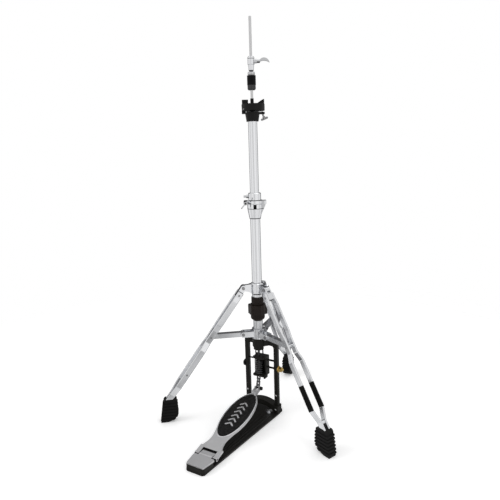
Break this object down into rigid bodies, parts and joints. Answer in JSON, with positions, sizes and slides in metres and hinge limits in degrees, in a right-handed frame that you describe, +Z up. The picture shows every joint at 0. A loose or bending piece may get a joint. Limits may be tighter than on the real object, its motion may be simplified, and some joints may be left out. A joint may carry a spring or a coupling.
{
  "type": "hi hat stand",
  "caption": "Hi hat cymbal stand with a hinged footboard, chain-driven pull rod in a telescoping tube, clutch, tilting seat and folding double-braced tripod.",
  "frame": {"origin": "on the floor under the axis of the tube, on the underside of the base plate", "axes": "+Z up along the tube, -Y from the tube towards the heel of the pedal, +X to the right of a drummer who faces the stand from the heel"},
  "size_m": [0.5429, 0.652, 1.1565],
  "materials": {
    "chrome": "polished chrome plate",
    "rod_steel": "smooth bright drawn steel",
    "spring_steel": "dark oiled spring wire",
    "satin_board": "satin cast aluminium with a fine grain",
    "black_coat": "black powder coat with a slight sheen",
    "black_plastic": "black moulded nylon",
    "dial_plastic": "brown-black moulded plastic",
    "tread_rubber": "black ridged rubber",
    "foot_rubber": "black moulded rubber",
    "felt": "black pressed felt",
    "brass": "yellow plated hex bolt",
    "chain_steel": "roller chain steel"
  },
  "bodies": {
    "base": {"base_plate": "black_coat", "heel_plate": "satin_board", "heel_hinge_pin": "rod_steel", "rear_bridge": "black_coat", "arch_frame": "black_coat", "spring_cage": "black_coat", "cage_hangers": "spring_steel", "side_bolt_left": "black_plastic", "side_bolt_right": "brass", "return_spring": "spring_steel", "lower_tube": "chrome", "tube_bushing": "black_plastic", "height_collar": "chrome", "height_bolt": "rod_steel", "memory_lock": "chrome", "dial_sleeve": "dial_plastic", "dial_nut": "dial_plastic"},
    "pedal": {"footboard": "satin_board", "footboard_pad": "tread_rubber", "toe_clip": "satin_board", "toe_pin": "black_plastic"},
    "rod": {"pull_rod_upper": "rod_steel", "pull_rod_lower": "rod_steel", "rod_coupling": "rod_steel", "spring_collar": "black_plastic"},
    "chain": {"drive_chain": "chain_steel"},
    "inner_column": {"upper_tube": "chrome", "seat_cone": "black_plastic", "seat_post": "black_plastic", "seat_hinge_pin": "rod_steel"},
    "seat": {"seat_cup": "black_plastic"},
    "tilt_knob": {"tilt_screw": "chrome"},
    "clutch": {"clutch_body": "chrome", "clutch_lock_nut": "chrome", "clutch_washer": "rod_steel", "clutch_felts": "felt", "clutch_bottom_nut": "chrome"},
    "clutch_screw": {"clutch_wing_screw": "chrome"},
    "height_nut": {"height_wing_nut": "chrome"},
    "lock_key": {"memory_lock_key": "chrome"},
    "dial": {"dial_ring": "dial_plastic"},
    "spur_left": {"anchor_spur_left": "chrome"},
    "spur_right": {"anchor_spur_right": "chrome"},
    "tripod": {"strut_hub": "chrome", "hub_pins": "rod_steel"},
    "bracket": {"leg_bracket": "chrome", "leg_pivot_pins": "rod_steel"},
    "bracket_screw": {"bracket_wing_screw": "chrome"},
    "leg_right": {"leg_bars_right": "chrome", "leg_knuckle_right": "chrome", "leg_foot_right": "foot_rubber"},
    "strut_right": {"strut_right": "chrome"},
    "leg_left": {"leg_bars_left": "chrome", "leg_knuckle_left": "chrome", "leg_foot_left": "foot_rubber"},
    "strut_left": {"strut_left": "chrome"},
    "leg_rear": {"leg_bars_rear": "chrome", "leg_knuckle_rear": "chrome", "leg_foot_rear": "foot_rubber"},
    "strut_rear": {"strut_rear": "chrome"}
  },
  "joints": [
    {"name": "pedal_press", "type": "hinge", "parent": "base", "child": "pedal", "pos_m": [0, -0.291, 0.0175], "axis": [-1, 0, 0], "range_deg": [0, 4.2]},
    {"name": "rod_pull", "type": "slide", "parent": "base", "child": "rod", "axis": [0, 0, -1], "range_m": [0, 0.02022], "stiffness_N_per_m": 2000, "springref_m": -0.025, "deforming": ["return_spring"]},
    {"name": "chain_swing", "type": "hinge", "parent": "rod", "child": "chain", "pos_m": [0, 0, 0.14128], "axis": [1, 0, 0], "range_deg": [0, 4.37]},
    {"name": "height_slide", "type": "slide", "parent": "base", "child": "inner_column", "axis": [0, 0, 1], "range_m": [-0.19, 0]},
    {"name": "tilt_screw_turn", "type": "hinge", "parent": "inner_column", "child": "tilt_knob", "pos_m": [0.02425, 0.014, 0.904], "axis": [-0.2962, -0.171, 0.9397], "range_deg": [0, 1325]},
    {"name": "seat_tilt", "type": "hinge", "parent": "inner_column", "child": "seat", "pos_m": [-0.02079, -0.012, 0.916], "axis": [0.5, -0.866, 0], "range_deg": [0, 8]},
    {"name": "clutch_slide", "type": "slide", "parent": "rod", "child": "clutch", "axis": [0, 0, 1], "range_m": [0, 0.09]},
    {"name": "clutch_wing_turn", "type": "hinge", "parent": "clutch", "child": "clutch_screw", "pos_m": [0.01386, 0.008, 1.0415], "axis": [0.866, 0.5, 0], "range_deg": [0, 720]},
    {"name": "height_wing_turn", "type": "hinge", "parent": "base", "child": "height_nut", "pos_m": [-0.01252, -0.03032, 0.6575], "axis": [0.5, -0.866, 0], "range_deg": [0, 720]},
    {"name": "lock_key_turn", "type": "hinge", "parent": "base", "child": "lock_key", "pos_m": [-0.02165, -0.0125, 0.6748], "axis": [-0.866, -0.5, 0], "range_deg": [0, 720]},
    {"name": "dial_turn", "type": "hinge", "parent": "base", "child": "dial", "pos_m": [0, 0, 0.33346], "axis": [0, 0, 1], "range_deg": [-180, 180]},
    {"name": "spur_left_turn", "type": "hinge", "parent": "base", "child": "spur_left", "pos_m": [-0.035, -0.008, 0.01], "axis": [0, 0, 1], "range_deg": [0, 720]},
    {"name": "spur_right_turn", "type": "hinge", "parent": "base", "child": "spur_right", "pos_m": [0.035, -0.008, 0.01], "axis": [0, 0, 1], "range_deg": [0, 720]},
    {"name": "tripod_swivel", "type": "hinge", "parent": "base", "child": "tripod", "pos_m": [0, 0, 0.26136], "axis": [0, 0, 1], "range_deg": [-20, 20]},
    {"name": "tripod_fold", "type": "slide", "parent": "tripod", "child": "bracket", "axis": [0, 0, 1], "range_m": [0, 0.12351]},
    {"name": "bracket_wing_turn", "type": "hinge", "parent": "bracket", "child": "bracket_screw", "pos_m": [-0.02782, 0.01124, 0.403], "axis": [-0.9272, 0.3746, 0], "range_deg": [0, 720]},
    {"name": "leg_right_fold", "type": "hinge", "parent": "bracket", "child": "leg_right", "pos_m": [0.03894, -0.01573, 0.405], "axis": [0.3746, 0.9272, 0], "range_deg": [0, 25.6]},
    {"name": "strut_right_fold", "type": "hinge", "parent": "tripod", "child": "strut_right", "pos_m": [0.0433, -0.01749, 0.26136], "axis": [-0.3746, -0.9272, 0], "range_deg": [0, 75.1]},
    {"name": "leg_left_fold", "type": "hinge", "parent": "bracket", "child": "leg_left", "pos_m": [-0.0331, -0.02586, 0.405], "axis": [0.6157, -0.788, 0], "range_deg": [0, 25.6]},
    {"name": "strut_left_fold", "type": "hinge", "parent": "tripod", "child": "strut_left", "pos_m": [-0.0368, -0.02875, 0.26136], "axis": [-0.6157, 0.788, 0], "range_deg": [0, 75.1]},
    {"name": "leg_rear_fold", "type": "hinge", "parent": "bracket", "child": "leg_rear", "pos_m": [-0.00585, 0.04159, 0.405], "axis": [-0.9903, -0.1392, 0], "range_deg": [0, 25.6]},
    {"name": "strut_rear_fold", "type": "hinge", "parent": "tripod", "child": "strut_rear", "pos_m": [-0.0065, 0.04625, 0.26136], "axis": [0.9903, 0.1392, 0], "range_deg": [0, 75.1]}
  ],
  "couplings": [
    {"joint": "rod_pull", "follows": "pedal_press", "m_per_rad": 0.27306},
    {"joint": "chain_swing", "follows": "pedal_press", "ratio": 1.0171},
    {"joint": "seat_tilt", "follows": "tilt_screw_turn", "ratio": 0.0060367},
    {"joint": "leg_right_fold", "follows": "tripod_fold", "rad_per_m": 3.6103},
    {"joint": "strut_right_fold", "follows": "tripod_fold", "rad_per_m": 10.598},
    {"joint": "leg_left_fold", "follows": "tripod_fold", "rad_per_m": 3.6103},
    {"joint": "strut_left_fold", "follows": "tripod_fold", "rad_per_m": 10.598},
    {"joint": "leg_rear_fold", "follows": "tripod_fold", "rad_per_m": 3.6103},
    {"joint": "strut_rear_fold", "follows": "tripod_fold", "rad_per_m": 10.598}
  ]
}
